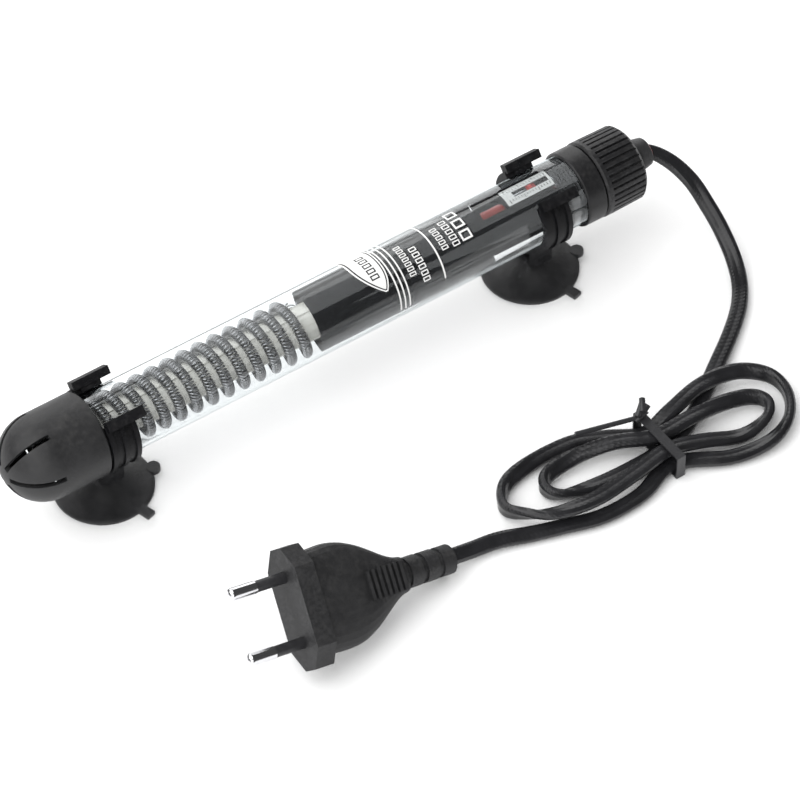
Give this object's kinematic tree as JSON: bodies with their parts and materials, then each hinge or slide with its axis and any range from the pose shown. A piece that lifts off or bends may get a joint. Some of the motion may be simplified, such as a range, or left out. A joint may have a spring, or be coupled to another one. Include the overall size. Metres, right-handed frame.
{
  "type": "submersible aquarium heater",
  "caption": "Glass-tube aquarium heater with a coiled element, bimetal thermostat, end-cap guard, turning knob, two clips with suction cups, and a tied flat cord with a two-pin plug.",
  "frame": {"origin": "centre of the tip suction cup's rim, straight below the tube's axis", "axes": "+X along the tube from the end cap to the knob, +Z from the cup rims up to the tube, +Y to the side away from the tied cord"},
  "size_m": [0.2392, 0.1154, 0.0392],
  "materials": {
    "guard_plastic": "satin moulded",
    "quartz_glass": "clear polished",
    "former_ceramic": "unglazed",
    "disc_mica": "matte",
    "resistance_wire": "drawn wire",
    "nickel_lead": "drawn wire",
    "liner_black": "semi-gloss",
    "frame_plastic": "satin moulded",
    "bimetal": "rolled",
    "plain_steel": "turned",
    "contact_silver": "bright",
    "bracket_brass": "rolled",
    "magnet_iron": "ground",
    "pinion_nylon": "moulded",
    "pointer_red": "moulded",
    "lamp_glass": "clear tinted",
    "resistor_ceramic": "lacquered",
    "scale_white": "smooth",
    "wire_insulation": "smooth",
    "stopper_rubber": "moulded",
    "head_plastic": "satin moulded",
    "seal_rubber": "smooth",
    "knob_plastic": "satin moulded",
    "spring_steel": "spring temper",
    "boot_rubber": "moulded",
    "cord_pvc": "satin extruded",
    "tie_plastic": "smooth",
    "plug_plastic": "fine texture moulded",
    "pin_nickel": "nickel plated",
    "sleeve_plastic": "smooth",
    "clip_plastic": "moulded",
    "cup_rubber": "moulded"
  },
  "bodies": {
    "heater": {"end_cap": "guard_plastic", "glass_tube": "quartz_glass", "ceramic_former": "former_ceramic", "former_discs": "disc_mica", "heating_coil": "resistance_wire", "return_lead": "nickel_lead", "feed_lead": "nickel_lead", "liner_sleeve": "liner_black", "thermostat_frame": "frame_plastic", "strip_pivot_pin": "plain_steel", "contact_bracket": "bracket_brass", "fixed_contact": "contact_silver", "snap_magnet": "magnet_iron", "indicator_lamp": "lamp_glass", "lamp_resistor": "resistor_ceramic", "scale_card": "scale_white", "supply_wires": "wire_insulation", "tube_stopper": "stopper_rubber", "head_cap": "head_plastic", "spindle_o_ring": "seal_rubber", "knob_retaining_ring": "spring_steel", "cord_boot": "boot_rubber", "power_cord": "cord_pvc", "cord_tie": "tie_plastic", "plug_body": "plug_plastic", "plug_pins": "pin_nickel", "pin_sleeves": "sleeve_plastic"},
    "bimetal_arm": {"bimetal_strip": "bimetal", "moving_contact": "contact_silver"},
    "spindle": {"adjusting_spindle": "plain_steel", "spindle_pinion": "pinion_nylon"},
    "pointer": {"temperature_pointer": "pointer_red"},
    "knob": {"knob": "knob_plastic"},
    "tip_clip": {"tip_clip": "clip_plastic"},
    "tip_cup": {"tip_cup": "cup_rubber"},
    "head_clip": {"head_clip": "clip_plastic"},
    "head_cup": {"head_cup": "cup_rubber"}
  },
  "joints": [
    {"name": "knob_turn", "type": "hinge", "parent": "heater", "child": "knob", "pos_m": [0.18, 0, 0.026], "axis": [1, 0, 0], "range_deg": [-150, 150]},
    {"name": "spindle_turn", "type": "hinge", "parent": "heater", "child": "spindle", "pos_m": [0.16, 0, 0.03275], "axis": [1, 0, 0], "range_deg": [-605, 605]},
    {"name": "pointer_slide", "type": "slide", "parent": "heater", "child": "pointer", "axis": [1, 0, 0], "range_m": [-0.005, 0.005]},
    {"name": "contact_swing", "type": "hinge", "parent": "heater", "child": "bimetal_arm", "pos_m": [0.09, 0, 0.0269], "axis": [0, -1, 0], "range_deg": [0, 3]},
    {"name": "tip_clip_turn", "type": "hinge", "parent": "heater", "child": "tip_clip", "pos_m": [0, 0, 0.026], "axis": [1, 0, 0], "continuous": true},
    {"name": "tip_cup_spin", "type": "hinge", "parent": "tip_clip", "child": "tip_cup", "pos_m": [0, 0, 0], "axis": [0, 0, 1], "continuous": true},
    {"name": "head_clip_slide", "type": "slide", "parent": "heater", "child": "head_clip", "axis": [1, 0, 0], "range_m": [-0.055, 0.005]},
    {"name": "head_cup_spin", "type": "hinge", "parent": "head_clip", "child": "head_cup", "pos_m": [0.152, 0, 0], "axis": [0, 0, 1], "continuous": true}
  ],
  "couplings": [
    {"joint": "spindle_turn", "follows": "knob_turn", "ratio": 4},
    {"joint": "pointer_slide", "follows": "knob_turn", "m_per_rad": 0.0019}
  ]
}
